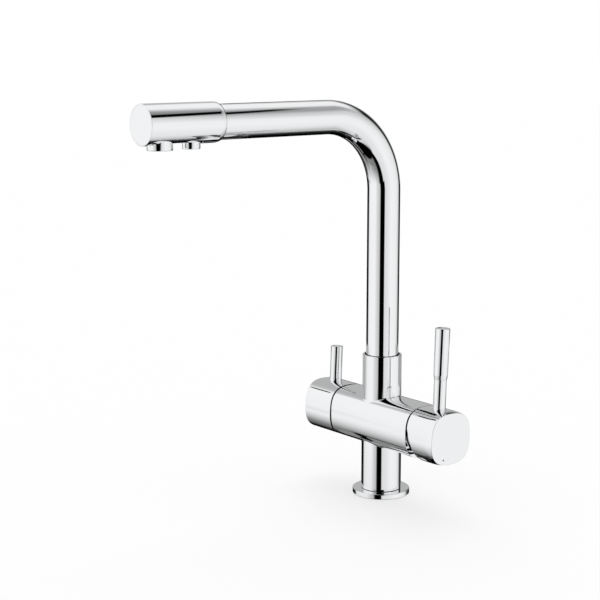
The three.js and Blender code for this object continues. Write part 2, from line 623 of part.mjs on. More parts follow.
function filterSpindle() {
  const { r, headEnd, end, chamfer } = SPINDLE;
  const from = FILTER_DISC.movingTo + GAP;
  const headR = FILTER_DISC.r;
  return turned([
    [0, from], [headR, from], [headR, headEnd], [r, headEnd], [r, end - chamfer], [r - chamfer, end],
    [0, end],
  ], SIDES.small);
}

function filterGuideRing() {
  const { bore, spigotR, from, shoulder, r, end } = GUIDE;
  return ring([
    [bore, from], [spigotR, from], [spigotR, shoulder], [r, shoulder], [r, end], [bore, end],
  ], SIDES.large);
}

const FILTER_LEVER = { r: 5.38, top: 54 };

const filterCap = () => cut(
  turningCap(BODY.left + SEAM, FILTER, FILTER_LEVER.r),
  rod(SPINDLE.r + GAP, FILTER.cavityEnd - 1, SPINDLE.end + 0.5, SIDES.small));

function filterLever() {
  const { r, top } = FILTER_LEVER;
  return alongX(turned([...leverStud, [r, LEVER.seat], ...dishedTop(r, top)], SIDES.medium));
}

// ---- assembly ----
function piece(name, geometry, material) {
  const mesh = new THREE.Mesh(geometry, material);
  mesh.name = name;
  return mesh;
}

function assembly(...pieces) {
  const group = new THREE.Group();
  pieces.forEach((entry) => group.add(entry));
  return group;
}

// A valve's frame: Z points outwards (+1 is right, -1 is left) and X up, leaning back a little.
function valveFrame(outward, leanDegrees, ...pieces) {
  const lean = THREE.MathUtils.degToRad(leanDegrees);
  const up = new THREE.Vector3(0, Math.sin(lean), Math.cos(lean));
  const out = new THREE.Vector3(outward, 0, 0);
  const across = new THREE.Vector3().crossVectors(out, up);
  const group = assembly(...pieces);
  group.setRotationFromMatrix(new THREE.Matrix4().makeBasis(up, across, out));
  group.position.z = BODY.z;
  return group;
}

function outletAt(outlet, ...pieces) {
  const group = assembly(...pieces);
  group.position.set(0, -outlet.y, ARM_Z);
  return group;
}

const stopScrew = piece('spout_grub_screw',
  alongY(grubScrew(STOP.screwR, STOP.tip, STOP.end, STOP.tipR, 2)), steel);
stopScrew.position.z = STOP.z;

const base = assembly(
  piece('base_flange', baseFlange(), chrome),
  piece('deck_seal', deckSeal(), rubber),
  piece('valve_body', valveBody(), chrome),
  stopScrew,
);

const spoutFootPieces = assembly(
  piece('spout_foot', spoutFoot(), brass),
  piece('spout_slip_ring_lower', slipRingLower(), acetal),
  piece('spout_slip_ring_upper', slipRingUpper(), acetal),
  ...['lower', 'upper'].map((place, i) => piece(`spout_o_ring_${place}`,
    oRing(O_RING.radius, O_RING.thickness, O_RING.heights[i]), rubber)),
);

const headPieces = assembly(
  piece('spout_head', spoutHead(), chrome),
  piece('head_end_cap', headEndCap(), chrome),
  piece('outlet_block', outletBlock(), brass),
);
headPieces.position.z = ARM_Z;
headPieces.rotation.x = Math.PI / 2;

const spout = assembly(
  piece('spout_tube', spoutTube(), chrome),
  piece('filtered_water_tube', filteredWaterTube(), hosePlastic),
  spoutFootPieces,
  headPieces,
  outletAt(MAIN_OUTLET,
    piece('aerator_housing', aeratorHousing(), chrome),
    piece('aerator_insert', aeratorInsert(), acetal),
    piece('aerator_seal', aeratorSeal(), rubber)),
  outletAt(FILTER_OUTLET,
    piece('filter_nozzle', filterNozzle(), chrome),
    piece('filter_nozzle_insert', filterNozzleInsert(), acetal)),
);

const mixerFixed = valveFrame(1, 0,
  ...Object.entries(SEAL_PORTS).map(([water, [x, y]]) => piece(`cartridge_seal_${water}`,
    oRing(3.4, 0.7, SEAT.x + 0.95, SIDES.small).translate(x, y, 0), rubber)),
  piece('cartridge_base', cartridgeBase(), darkPlastic),
  piece('cartridge_housing', cartridgeHousing(), acetal),
  piece('cartridge_fixed_disc', fixedDisc(), ceramic),
  piece('cartridge_nut', cartridgeNut(), brass),
  piece('cartridge_dome', cartridgeDome(), chrome),
);

// The screws point up from the cap's underside: a local half turn about the valve's axis.
const CAP_SCREW = { r: 1.7, tipR: 1.4, tipLength: 1.5 };
const capScrew = (tip, end) => radial(
  grubScrew(CAP_SCREW.r, tip, end, CAP_SCREW.tipR, CAP_SCREW.tipLength), 0);

const mixerScrew = piece('mixer_grub_screw', capScrew(5, 17), steel);
mixerScrew.position.z = MIXER.screwAt;
mixerScrew.rotation.z = Math.PI;

const mixerLeverPieces = assembly(
  piece('mixer_lever_pin', mixerLeverPin(), chrome),
  piece('mixer_lever_grip', mixerLeverGrip(), chrome),
);
mixerLeverPieces.position.z = MIXER.leverAt;

const mixerMoving = valveFrame(1, MIXER.lean,
  piece('cartridge_moving_disc', movingDisc(), ceramic),
  piece('cartridge_disc_carrier', discCarrier(), darkPlastic),
  piece('cartridge_rotor', cartridgeRotor(), darkPlastic),
  piece('cartridge_pivot_pin', pivotPin(), steel),
  piece('cartridge_stem', cartridgeStem(), brass),
  piece('mixer_cap', mixerCap(), chrome),
  piece('mixer_index_dot', indexDot(), darkPlastic),
  mixerScrew,
  mixerLeverPieces,
);

const filterFixed = valveFrame(-1, 0,
  piece('filter_headpart', filterHeadpart(), brass),
  piece('filter_headpart_seal', filterHeadpartSeal(), rubber),
  piece('filter_fixed_disc', filterFixedDisc(), ceramic),
  piece('filter_guide_ring', filterGuideRing(), darkPlastic),
);

const filterScrew = piece('filter_grub_screw', capScrew(4.6, 16), steel);
filterScrew.position.z = FILTER.screwAt;
filterScrew.rotation.z = Math.PI;

const filterLeverPiece = piece('filter_lever', filterLever(), chrome);
filterLeverPiece.position.z = FILTER.leverAt;

const filterMoving = valveFrame(-1, FILTER.lean,
  piece('filter_moving_disc', filterMovingDisc(), ceramic),
  piece('filter_spindle', filterSpindle(), brass),
  piece('filter_cap', filterCap(), chrome),
  filterScrew,
  filterLeverPiece,
);

const tap = assembly(base, spout, mixerFixed, mixerMoving, filterFixed, filterMoving);
tap.name = 'three_way_tap';

export default tap;
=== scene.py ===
# The photographer's view: from the tap's right front, a little from above, with a long lens, so
# that the upright pieces stay nearly parallel. The image is square.
import math

import bmesh
import bpy
from mathutils import Matrix, Vector


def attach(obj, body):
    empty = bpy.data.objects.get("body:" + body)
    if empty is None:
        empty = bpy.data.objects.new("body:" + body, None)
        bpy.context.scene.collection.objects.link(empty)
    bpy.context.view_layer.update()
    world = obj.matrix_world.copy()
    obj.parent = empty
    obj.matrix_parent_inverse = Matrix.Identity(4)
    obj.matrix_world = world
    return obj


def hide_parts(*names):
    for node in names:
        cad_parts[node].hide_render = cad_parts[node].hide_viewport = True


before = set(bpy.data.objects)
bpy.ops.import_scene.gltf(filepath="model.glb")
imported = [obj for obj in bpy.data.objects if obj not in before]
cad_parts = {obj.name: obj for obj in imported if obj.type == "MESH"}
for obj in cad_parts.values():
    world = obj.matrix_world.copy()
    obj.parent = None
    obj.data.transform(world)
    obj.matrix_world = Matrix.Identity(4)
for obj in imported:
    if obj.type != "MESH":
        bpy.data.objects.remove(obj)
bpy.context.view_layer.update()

long_lens = bpy.data.cameras.new("long_lens")
long_lens.sensor_width, long_lens.lens = 36, 89.183       # in mm, as on a 35 mm camera
camera = bpy.data.objects.new("camera", long_lens)
camera.location = (0.949314, -0.835196, 0.395983)
camera.rotation_euler = (math.radians(79.9109), 0, math.radians(51.8952))
bpy.context.scene.collection.objects.link(camera)
bpy.context.scene.camera = camera


# ---- Base flange ----
# A turned brass plate that stands on the worktop and hides the tap hole. Its upper edge is
# rounded, a groove below takes the seal, and it is polished and plated with chrome.
MM = 0.001
FINE = 192                      # steps in a full turn of the larger pieces


def linear(code):
    """An sRGB hex colour as Blender's linear red, green, blue and alpha."""
    parts = [int(code[i:i + 2], 16) / 255 for i in (1, 3, 5)]
    return [c / 12.92 if c <= 0.04045 else ((c + 0.055) / 1.055) ** 2.4 for c in parts] + [1]


def add_node(tree, kind, settings=None, links=None):
    """Adds a node, sets its inputs or properties by name, and links its inputs to outputs."""
    node = tree.nodes.new(kind)
    for name, value in (settings or {}).items():
        if name in node.inputs:
            node.inputs[name].default_value = value
        else:
            setattr(node, name, value)
    for name, output in (links or {}).items():
        tree.links.new(output, node.inputs[name])
    return node


def start_material(name):
    """A new material's node tree with only its output, and the object coordinates in it."""
    material = bpy.data.materials.new(name)
    material.use_nodes = True
    tree = material.node_tree
    tree.nodes.clear()
    place = add_node(tree, "ShaderNodeTexCoord").outputs["Object"]
    return material, tree, place


def end_material(tree, shader):
    """Sets a shader on the output of a material's node tree."""
    add_node(tree, "ShaderNodeOutputMaterial", links={"Surface": shader.outputs[0]})


# Chrome on polished brass. The polishing wheel leaves waves of about a centimetre that are only
# microns deep, and the finest wiping marks change how sharp a reflection is from place to place.
chrome, tree, place = start_material("polished_chrome")
wheel_waves = add_node(tree, "ShaderNodeTexNoise", {"Scale": 70, "Detail": 1}, {"Vector": place})
wave_relief = add_node(tree, "ShaderNodeBump", {"Strength": 1, "Distance": 0.0000015},
                       {"Height": wheel_waves.outputs["Fac"]})
wiping = add_node(tree, "ShaderNodeTexNoise", {"Scale": 260, "Detail": 4}, {"Vector": place})
haze = add_node(tree, "ShaderNodeMapRange", {"To Min": 0.02, "To Max": 0.05},
                {"Value": wiping.outputs["Fac"]})
end_material(tree, add_node(tree, "ShaderNodeBsdfPrincipled",
                            {"Base Color": linear("#F4F5F6"), "Metallic": 1},
                            {"Roughness": haze.outputs["Result"],
                             "Normal": wave_relief.outputs["Normal"]}))


def corner(r, h, size, start, end, steps=8):
    """Points on a rounded corner about (r, h), its angles in degrees from the radius."""
    turns = [math.radians(start + (end - start) * i / steps) for i in range(steps + 1)]
    return [(r + size * math.cos(turn), h + size * math.sin(turn)) for turn in turns]


def turned(outline, closed=False, steps=FINE):
    """Spins an outline of (radius, height) in mm about Z. It is closed, or ends on the axis."""
    shape = bmesh.new()
    points = [shape.verts.new((r, 0, h)) for r, h in outline]
    pairs = list(zip(points, points[1:])) + ([(points[-1], points[0])] if closed else [])
    edges = [shape.edges.new(pair) for pair in pairs]
    bmesh.ops.spin(shape, geom=points + edges, cent=(0, 0, 0), axis=(0, 0, 1), dvec=(0, 0, 0),
                   angle=math.tau, steps=steps, use_merge=True)
    bmesh.ops.remove_doubles(shape, verts=shape.verts, dist=0.0005)
    bmesh.ops.dissolve_degenerate(shape, edges=shape.edges, dist=0.0002)
    bmesh.ops.recalc_face_normals(shape, faces=shape.faces)
    return shape


def as_piece(name, shape, place=Matrix()):
    """A bmesh in mm becomes an object at the origin, its mesh in metres where place puts it."""
    bmesh.ops.transform(shape, matrix=Matrix.Scale(MM, 4) @ place, verts=shape.verts)
    mesh = bpy.data.meshes.new(name)
    shape.to_mesh(mesh)
    shape.free()
    piece = bpy.data.objects.new(name, mesh)
    bpy.context.scene.collection.objects.link(piece)
    return piece


def apply_modifiers(piece):
    """Replaces a piece's mesh by what its modifiers make of it."""
    graph = bpy.context.evaluated_depsgraph_get()
    raw = piece.data
    piece.data = bpy.data.meshes.new_from_object(piece.evaluated_get(graph), depsgraph=graph)
    piece.data.name = piece.name
    piece.modifiers.clear()
    bpy.data.meshes.remove(raw)


def finish_piece(piece, material, slot, body, *nodes):
    """Smooths the mesh between its sharp edges, dresses it and sets it on its body."""
    mesh = piece.data
    mesh.polygons.foreach_set("use_smooth", [True] * len(mesh.polygons))
    mesh.set_sharp_from_angle(angle=math.radians(30))
    even = piece.modifiers.new("flat_faces_rule", "WEIGHTED_NORMAL")
    even.keep_sharp = True
    apply_modifiers(piece)
    piece.data.materials.clear()
    piece.data.materials.append(material)
    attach(piece, body)
    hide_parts(*nodes)


FLANGE_R, FLANGE_TOP, FLANGE_BORE, FLANGE_EDGE = 24.9, 4.4, 14.6, 0.7
SEAL_INNER_R, SEAL_OUTER_R, SEAL_DEPTH = 19.2, 23.3, 1.9
flange_outline = [
    (FLANGE_BORE, 0), (SEAL_INNER_R, 0), (SEAL_INNER_R, SEAL_DEPTH), (SEAL_OUTER_R, SEAL_DEPTH),
    (SEAL_OUTER_R, 0), (FLANGE_R - 0.3, 0), (FLANGE_R, 0.3),
    *corner(FLANGE_R - FLANGE_EDGE, FLANGE_TOP - FLANGE_EDGE, FLANGE_EDGE, 0, 90),
    (FLANGE_BORE, FLANGE_TOP),
]
flange = as_piece("flange", turned(flange_outline, closed=True))
finish_piece(flange, chrome, "chrome", "base", "base_flange")


# ---- Valve body ----
# One brass casting: a column, a barrel across it and a boss above. Small fillets join them, the
# ends and the boss are bored for the valves and the spout, and the outside is chrome plated.
BARREL_R, BARREL_Z, BARREL_LEFT, BARREL_RIGHT = 22.3, 66.2, -42.3, 55.4
SQUARENESS = 2.75               # 2 would be a round bar, and a large number a square one
BOSS_R, BOSS_TOP, BOSS_EDGE = 16.9, 124.1, 0.35
COLUMN_R, COLUMN_FOOT = 17.4, FLANGE_TOP + 0.3
SPIGOT_R, SPIGOT_FOOT = 14.3, 0.4       # the part of the column inside the flange
FILLET, END_EDGE = 0.8, 0.2

ALONG_X = Matrix.Rotation(math.pi / 2, 4, "Y")


def rod(r, low, high, steps=64):
    """A round bar about Z from one height to another, in mm."""
    return turned([(0, low), (r, low), (r, high), (0, high)], steps=steps)


def boolean(piece, operation, shape, place=Matrix()):
    """Joins a shape in mm to a piece, or cuts it out of the piece."""
    tool = as_piece("tool", shape, place)
    step = piece.modifiers.new("boolean", "BOOLEAN")
    step.operation, step.solver, step.object = operation, "EXACT", tool
    apply_modifiers(piece)
    spent = tool.data
    bpy.data.objects.remove(tool)
    bpy.data.meshes.remove(spent)


def soft_square(shape):
    """Presses a turned shape's round section outwards into a square with soft corners."""
    for point in shape.verts:
        r = math.hypot(point.co.x, point.co.y)
        if r > 0.001:
            across, upward = abs(point.co.x / r), abs(point.co.y / r)
            stretch = (across ** SQUARENESS + upward ** SQUARENESS) ** (-1 / SQUARENESS)
            point.co.x *= stretch
            point.co.y *= stretch
    return shape


def sink_into_barrel(shape, up):
    """Lets the rows near the barrel follow its soft back, above (up = 1) or below it (-1)."""
    top_of_fillet = BARREL_Z + up * (BARREL_R + FILLET + 0.01)
    for point in shape.verts:
        if up * (point.co.z - top_of_fillet) < 0:
            half = (BARREL_R ** SQUARENESS - abs(point.co.y) ** SQUARENESS) ** (1 / SQUARENESS)
            point.co.z -= up * (BARREL_R - half)


def filleted_root(r, up):
    """The outline of a post where it meets the barrel, from inside the barrel outwards."""
    crest = BARREL_Z + up * BARREL_R
    fillet = corner(r + FILLET, crest + up * (FILLET - 0.02), FILLET, -90 * up, -180 * up)
    return [(0, crest - up * 4), (r - 1, crest - up * 4), *fillet]


barrel_outline = [
    (0, BARREL_LEFT), *corner(BARREL_R - END_EDGE, BARREL_LEFT + END_EDGE, END_EDGE, -90, 0, 4),
    *corner(BARREL_R - END_EDGE, BARREL_RIGHT - END_EDGE, END_EDGE, 0, 90, 4), (0, BARREL_RIGHT),
]
barrel_axis = Matrix.Translation((0, 0, BARREL_Z)) @ ALONG_X
body = as_piece("valve_casting", soft_square(turned(barrel_outline)), barrel_axis)
boss = turned([
    *filleted_root(BOSS_R, 1),
    *corner(BOSS_R - BOSS_EDGE, BOSS_TOP - BOSS_EDGE, BOSS_EDGE, 0, 90, 5), (0, BOSS_TOP),
])
sink_into_barrel(boss, 1)
boolean(body, "UNION", boss)
column = turned([
    *filleted_root(COLUMN_R, -1), (COLUMN_R, FLANGE_TOP + 0.5), (COLUMN_R - 0.2, COLUMN_FOOT),
    (SPIGOT_R, COLUMN_FOOT), (SPIGOT_R, SPIGOT_FOOT), (0, SPIGOT_FOOT),
])
sink_into_barrel(column, -1)
boolean(body, "UNION", column)

# The bores in mm, each as its radius and where it starts and ends: first those along the barrel.
CARTRIDGE_BORE, NUT_THREAD = (17.8, 18, 60), (18.6, 44.5, 60)
FILTER_MOUTH, HEADPART_BORE, HEADPART_NOSE = (17, -50, -36), (10.6, -50, -24), (7.8, -25, -16)
for bore in (CARTRIDGE_BORE, NUT_THREAD, FILTER_MOUTH, HEADPART_BORE, HEADPART_NOSE):
    boolean(body, "DIFFERENCE", rod(*bore, 96), barrel_axis)
# Then the upright ones: the slot round the tube, the spout's bore with the seat of its slip ring,
# the hole for the filtered water's tube, and the hollow below, in which the hoses end.
TUBE_SLOT, SPOUT_BORE, RING_SEAT = (15.3, 122.3, 130), (14.35, 97, 122.4), (15.1, 118.2, 122.4)
FILTERED_BORE, HOSE_HOLLOW = (4.3, 87, 98), (12.5, -1, 30)
for bore in (TUBE_SLOT, SPOUT_BORE, RING_SEAT, FILTERED_BORE, HOSE_HOLLOW):
    boolean(body, "DIFFERENCE", rod(*bore, 96))
HOSE_PORT, STUD_HOLE = (3.5, 29, 44), (2.5, 29, 42)
HOSE_CIRCLE_R = 8
for angle in (-60, 60, 180):
    turn = Matrix.Rotation(math.radians(angle), 4, "Z")
    at_port = turn @ Matrix.Translation((HOSE_CIRCLE_R, 0, 0))
    boolean(body, "DIFFERENCE", rod(*HOSE_PORT, 48), at_port)
boolean(body, "DIFFERENCE", rod(*STUD_HOLE, 48))
STOP_SCREW_Z, STOP_SCREW_HOLE = 113, (2.6, 12, 20)
stop_axis = Matrix.Translation((0, 0, STOP_SCREW_Z)) @ Matrix.Rotation(-math.pi / 2, 4, "X")
boolean(body, "DIFFERENCE", rod(*STOP_SCREW_HOLE, 48), stop_axis)
finish_piece(body, chrome, "chrome", "base", "valve_body")


def surfaced(name, colour, other, haze, grain, relief, **settings):
    """A material between two colours and two hazes, with relief in mm of grains per metre."""
    material, tree, place = start_material(name)
    patches = add_node(tree, "ShaderNodeTexNoise", {"Scale": grain / 8, "Detail": 3},
                       {"Vector": place})
    tint = add_node(tree, "ShaderNodeValToRGB", {}, {"Fac": patches.outputs["Fac"]})
    tint.color_ramp.elements[0].color = linear(colour)
    tint.color_ramp.elements[1].color = linear(other)
    dulled = add_node(tree, "ShaderNodeMapRange", {"To Min": haze[0], "To Max": haze[1]},
                      {"Value": patches.outputs["Fac"]})
    grains = add_node(tree, "ShaderNodeTexNoise", {"Scale": grain, "Detail": 2}, {"Vector": place})
    raised = add_node(tree, "ShaderNodeBump", {"Strength": 1, "Distance": relief * MM},
                      {"Height": grains.outputs["Fac"]})
    end_material(tree, add_node(tree, "ShaderNodeBsdfPrincipled", settings,
                                {"Base Color": tint.outputs["Color"],
                                 "Roughness": dulled.outputs["Result"],
                                 "Normal": raised.outputs["Normal"]}))
    return material


# The plating is thin in the bores and joints, and the dull, near-black nickel given there is
# painted shade: it shows as the dark lines between the barrel and its caps.
gap_shade_nickel = surfaced("painted_shade_nickel", "#1C1C1B", "#262625", (0.4, 0.6), 3000, 0.002,
                       Metallic=1)


def paint_gap_shade(piece, shaded):
    """Gives the dark nickel of painted shade to the faces that the rule finds by their middle in mm
    and normal.
    """
    piece.data.materials.append(gap_shade_nickel)
    for face in piece.data.polygons:
        if shaded(face.center / MM, face.normal):
            face.material_index = 1


# Within these radii of its axis, a face lies in a bore and gets the painted shade. The barrel's
# right end and the boss's top stay bright, without painted shade, and lie beyond the next two
# limits.
BARREL_WALL_R, COLUMN_WALL_R, BOSS_WALL_R = 20.5, 13, 15.6
BRIGHT_END_X, BRIGHT_TOP_Z = 54, 120
FILTER_JOINT_X = -42


def in_casting(at, out):
    """Whether a face of the casting lies in a bore, or in the joint with the filter cap."""
    if out.x > 0.9 and at.x > BRIGHT_END_X or out.z > 0.9 and at.z > BRIGHT_TOP_Z:
        return False
    from_barrel, from_column = math.hypot(at.y, at.z - BARREL_Z), math.hypot(at.x, at.y)
    return (from_barrel < BARREL_WALL_R or from_column < COLUMN_WALL_R
            or from_column < BOSS_WALL_R and at.z > SPOUT_BORE[1]
            or at.x < FILTER_JOINT_X and out.x < -0.95)


paint_gap_shade(body, in_casting)


# ---- Cartridge dome ----
# A turned and plated cover over the mixer cartridge. It is a ball round the point where the
# lever tilts, and shows in the wedge-shaped gap under the mixer cap.
PIVOT = 50                      # along the barrel's axis, as all lengths of this piece are
DOME_R, DOME_FROM, DOME_TOP = 20.9, 56.2, 63.4
DOME_INNER_R, DOME_MOUTH = 16.6, 12
COLLAR_R, COLLAR_INNER_R, COLLAR_FOOT = 18.3, 15.6, 52.4


def ball_angle(r, along):
    """The angle in degrees at which a ball of radius r about the pivot reaches so far along."""
    return math.degrees(math.asin((along - PIVOT) / r))


dome = as_piece("dome", turned([
    (COLLAR_R, COLLAR_FOOT), (COLLAR_R, DOME_FROM),
    *corner(0, PIVOT, DOME_R, ball_angle(DOME_R, DOME_FROM), ball_angle(DOME_R, DOME_TOP), 16),
    (DOME_MOUTH + 0.3, DOME_TOP), (DOME_MOUTH, DOME_TOP - 0.3),
    *corner(0, PIVOT, DOME_INNER_R, math.degrees(math.acos(DOME_MOUTH / DOME_INNER_R)),
            ball_angle(DOME_INNER_R, DOME_FROM - 0.5), 12),
    (COLLAR_INNER_R, COLLAR_FOOT),
], closed=True), barrel_axis)
finish_piece(dome, chrome, "chrome", "base", "cartridge_dome")


# ---- Mixer cap ----
# The right cap is a turned shell that turns and tilts on the cartridge's stem. The lower part of
# its rim is cut to a slant, which leaves it room to tilt. The lever stands in a pocket in it.
CAP_R, CAP_CAVITY_R, CAP_EDGE = 22.5, 20.4, 0.35
MIXER_RIM, MIXER_CAVITY, MIXER_FACE = 57.1, 69, 87.2
FALL, FALL_LENGTH = 0.8, 8      # how far the cap narrows towards its face, and over what length
MIXER_LEAN = math.radians(2.2)
MIXER_LEVER_AT, MIXER_SCREW_AT = 71.6, 75
LEVER_SEAT = 21.9               # where a lever's shoulder stands, from the barrel's axis
POCKET_R, POCKET_FLOOR, POCKET_END = 5.35, 21.6, 30
CLAMP_HOLE = (2, -30, -15)      # radius, start and end of the hole for a cap's screw


def valve_frame(outward, lean):
    """Z points out along the valve's axis, to the right (1) or left (-1), and X up the lever."""
    up = Vector((0, math.sin(lean), math.cos(lean)))
    out = Vector((outward, 0, 0))
    turn = Matrix((up, out.cross(up), out)).transposed().to_4x4()
    return Matrix.Translation((0, 0, BARREL_Z)) @ turn


def cap_shell(rim, cavity, face, fall=0):
    """A soft square cap, open at its rim, with a round cavity and an end face."""
    rounding, end_r = 0.2, CAP_R - fall
    fall_from = face - CAP_EDGE - FALL_LENGTH
    narrowing = [(CAP_R - fall * (i / 8) ** 2, fall_from + FALL_LENGTH * i / 8) for i in range(8)]
    shell = turned([
        (0, cavity), (CAP_CAVITY_R, cavity),
        *corner(CAP_CAVITY_R + rounding, rim + rounding, rounding, 180, 270, 5),
        *corner(CAP_R - rounding, rim + rounding, rounding, -90, 0, 5),
        *(narrowing if fall else []),
        *corner(end_r - CAP_EDGE, face - CAP_EDGE, CAP_EDGE, 0, 90, 10), (0, face),
    ])
    round_places = {
        point: point.co.copy() for point in shell.verts
        if math.hypot(point.co.x, point.co.y) < CAP_CAVITY_R + rounding + 0.01
        and point.co.z < cavity + 0.01
    }
    soft_square(shell)
    for point, still_round in round_places.items():
        point.co = still_round
    return shell


mixer = valve_frame(1, MIXER_LEAN)
SLANT_FROM, SLANT = 5.8, math.tan(math.radians(19.8))
shell = cap_shell(MIXER_RIM, MIXER_CAVITY, MIXER_FACE, FALL)
for point in shell.verts:
    if point.co.z < MIXER_RIM + 1 and point.co.x < SLANT_FROM:
        point.co.z += (SLANT_FROM - point.co.x) * SLANT
mixer_cap = as_piece("mixer_cap_shell", shell, mixer)

lever_foot = mixer @ Matrix.Translation((0, 0, MIXER_LEVER_AT)) @ ALONG_X
boolean(mixer_cap, "DIFFERENCE", rod(POCKET_R, POCKET_FLOOR, POCKET_END, 96), lever_foot)
mixer_screw_hole = mixer @ Matrix.Translation((0, 0, MIXER_SCREW_AT)) @ ALONG_X
boolean(mixer_cap, "DIFFERENCE", rod(*CLAMP_HOLE, 48), mixer_screw_hole)
DOT_BELOW, DOT_FORWARD = 17.1, 7.6      # the index dot's place from the middle of the face
DOT_HOLE_R, DOT_DEPTH = 0.85, 0.5
dot_place = mixer @ Matrix.Translation((-DOT_BELOW, DOT_FORWARD, 0))
boolean(mixer_cap, "DIFFERENCE", rod(DOT_HOLE_R, MIXER_FACE - DOT_DEPTH, MIXER_FACE + 1, 32),
        dot_place)
finish_piece(mixer_cap, chrome, "chrome", "mixer_handle", "mixer_cap")


def in_cap(cavity, lowest=-30):
    """A rule for a cap's rim and cavity, from a lowest height over the barrel's axis up."""
    return lambda at, out: at.z > BARREL_Z + lowest and (
        -math.copysign(1, at.x) * out.x > 0.5
        or math.hypot(at.y, at.z - BARREL_Z) < CAP_CAVITY_R + 0.2 and abs(at.x) < cavity + 0.3)


# The painted shade stops short of the wide lower part of the gap, so that the cap is bright there.
paint_gap_shade(mixer_cap, in_cap(MIXER_CAVITY, -4))


# ---- Mixer lever ----
# A plain pin screwed into the cap, and on it a slightly thicker grip that widens a little towards
# its dished top. Both are turned brass with chrome plate.
PIN_R, PIN_TOP = 5.3, 48
CORE_R, CORE_TOP = 3.4, 87      # the pin's thinner upper part, inside the grip
GRIP_LOW_R, GRIP_R, GRIP_TOP_R, GRIP_TOP = 5.45, 6, 6.2, 91.2
STUB_R, STUB_FOOT = 1.85, 13.5  # the screw end of a lever
lever_stub = [(0, STUB_FOOT), (STUB_R, STUB_FOOT), (STUB_R, LEVER_SEAT)]


def dished_top(r, top):
    """The rounded edge and shallow hollow at a lever's upper end."""
    return [*corner(r - 0.6, top - 0.6, 0.6, 0, 90, 6), (r - 1.1, top - 0.05),
            *[(r * f, top - 0.5 + 0.42 * f ** 2) for f in (0.7, 0.5, 0.3, 0.15)], (0, top - 0.5)]


pin = as_piece("mixer_pin", turned([
    *lever_stub, (PIN_R, LEVER_SEAT), (PIN_R, PIN_TOP - 0.1), (PIN_R - 0.1, PIN_TOP),
    (CORE_R, PIN_TOP), (CORE_R, CORE_TOP), (0, CORE_TOP),
], steps=96), lever_foot)
finish_piece(pin, chrome, "chrome", "mixer_handle", "mixer_lever_pin")

grip = as_piece("mixer_grip", turned([
    (0, CORE_TOP + 0.4), (CORE_R + 0.3, CORE_TOP + 0.4), (CORE_R + 0.3, PIN_TOP + 0.08),
    (GRIP_LOW_R - 0.05, PIN_TOP + 0.08),
    (GRIP_LOW_R, PIN_TOP + 0.15), (GRIP_R - 0.06, PIN_TOP + 3.4), (GRIP_R, PIN_TOP + 3.9),
    *dished_top(GRIP_TOP_R, GRIP_TOP),
], steps=96), lever_foot)
finish_piece(grip, chrome, "chrome", "mixer_handle", "mixer_lever_grip")


# ---- Filter cap and lever ----
# The left cap turns with the spindle of the filtered water's valve. It has a square rim, and its
# lever is one plain rod with a dished top.
FILTER_RIM, FILTER_CAVITY, FILTER_FACE = 43.8, 61.5, 79
FILTER_LEVER_R, FILTER_LEVER_TOP = 5.38, 54
FILTER_LEAN = math.radians(2.6)
FILTER_LEVER_AT, FILTER_SCREW_AT = 64.6, 69
filter_side = valve_frame(-1, FILTER_LEAN)
filter_cap = as_piece("filter_cap_shell", cap_shell(FILTER_RIM, FILTER_CAVITY, FILTER_FACE),
                      filter_side)
filter_foot = filter_side @ Matrix.Translation((0, 0, FILTER_LEVER_AT)) @ ALONG_X
boolean(filter_cap, "DIFFERENCE", rod(FILTER_LEVER_R + 0.05, POCKET_FLOOR, POCKET_END, 96),
        filter_foot)
filter_screw_hole = filter_side @ Matrix.Translation((0, 0, FILTER_SCREW_AT)) @ ALONG_X
boolean(filter_cap, "DIFFERENCE", rod(*CLAMP_HOLE, 48), filter_screw_hole)
finish_piece(filter_cap, chrome, "chrome", "filter_handle", "filter_cap")
paint_gap_shade(filter_cap, in_cap(FILTER_CAVITY))

filter_lever = as_piece("filter_rod", turned([
    *lever_stub, (FILTER_LEVER_R, LEVER_SEAT), *dished_top(FILTER_LEVER_R, FILTER_LEVER_TOP),
], steps=96), filter_foot)
finish_piece(filter_lever, chrome, "chrome", "filter_handle", "filter_lever")


# ---- Spout tube ----
# A brass tube, 28 mm across with a 1.2 mm wall, drawn round a mandrel into a quarter bend,
# polished and chrome plated. Its foot sits in the boss and its front end in the head.
TUBE_R, TUBE_WALL, BEND_R = 14, 1.2, 63.8
TUBE_FOOT, ARM_Z, TUBE_REACH = 117.3, 330.2, 186.5
tube_shape = bmesh.new()
bmesh.ops.create_circle(tube_shape, segments=FINE, radius=TUBE_R,
                        matrix=Matrix.Translation((0, 0, TUBE_FOOT)))


def pull(shape, edges, way):
    """Extrudes an open loop of edges by a vector and gives back the new loop."""
    made = bmesh.ops.extrude_edge_only(shape, edges=edges)["geom"]
    points = [item for item in made if isinstance(item, bmesh.types.BMVert)]
    bmesh.ops.translate(shape, verts=points, vec=way)
    return [item for item in made if isinstance(item, bmesh.types.BMEdge)]


riser_top = pull(tube_shape, tube_shape.edges[:], (0, 0, ARM_Z - BEND_R - TUBE_FOOT))
points = list({point for edge in riser_top for point in edge.verts})
bend_end = bmesh.ops.spin(tube_shape, geom=riser_top + points, cent=(0, -BEND_R, ARM_Z - BEND_R),
                          axis=(1, 0, 0), dvec=(0, 0, 0), angle=math.pi / 2,
                          steps=72)["geom_last"]
pull(tube_shape, [item for item in bend_end if isinstance(item, bmesh.types.BMEdge)],
     (0, BEND_R - TUBE_REACH, 0))
bmesh.ops.remove_doubles(tube_shape, verts=tube_shape.verts, dist=0.0005)
bmesh.ops.recalc_face_normals(tube_shape, faces=tube_shape.faces)
bmesh.ops.solidify(tube_shape, geom=tube_shape.faces[:], thickness=TUBE_WALL)
tube = as_piece("bent_tube", tube_shape)
finish_piece(tube, chrome, "chrome", "spout", "spout_tube")


